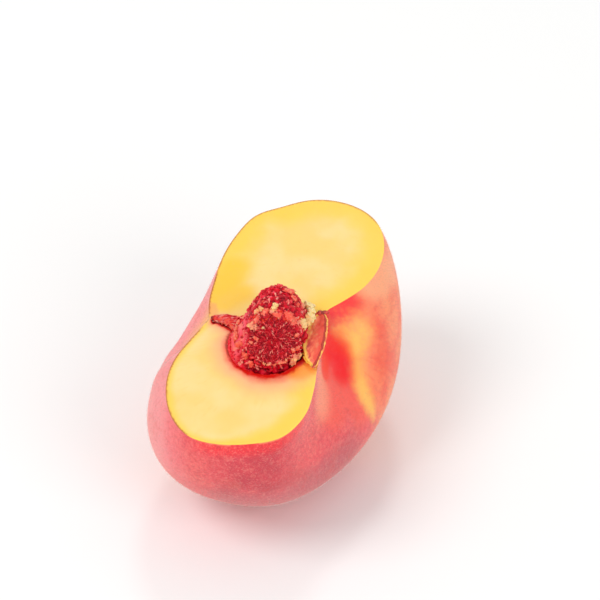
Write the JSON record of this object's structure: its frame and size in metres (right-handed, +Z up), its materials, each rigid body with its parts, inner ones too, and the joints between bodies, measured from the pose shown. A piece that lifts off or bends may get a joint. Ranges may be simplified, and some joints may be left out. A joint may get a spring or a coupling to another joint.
{
  "type": "flat peach half",
  "caption": "Half of a squat round flat peach, cut from stem pit to blossom scar, with its rough stone standing proud of the yellow cut face.",
  "frame": {"origin": "middle of the small flat spot on the rounded skin that the half rests on", "axes": "+Z up, +Y along the cut face from the lower lobe to the upper lobe, +X from the stem pit to the blossom scar; the cut face looks up and leans about 7 degrees"},
  "size_m": [0.0432, 0.0737, 0.0455],
  "materials": {
    "skin": "velvety peach skin with short pale fuzz, rose and crimson blush over golden orange, fine pale speckle",
    "flesh": "moist cut flesh, pale cream yellow in the middle, deep yellow under the skin, crimson round the stone",
    "stone": "rough furrowed stone, wet crimson, with scraps of torn flesh"
  },
  "bodies": {
    "root": {"fruit_half": "skin", "stone": "stone"}
  },
  "joints": []
}
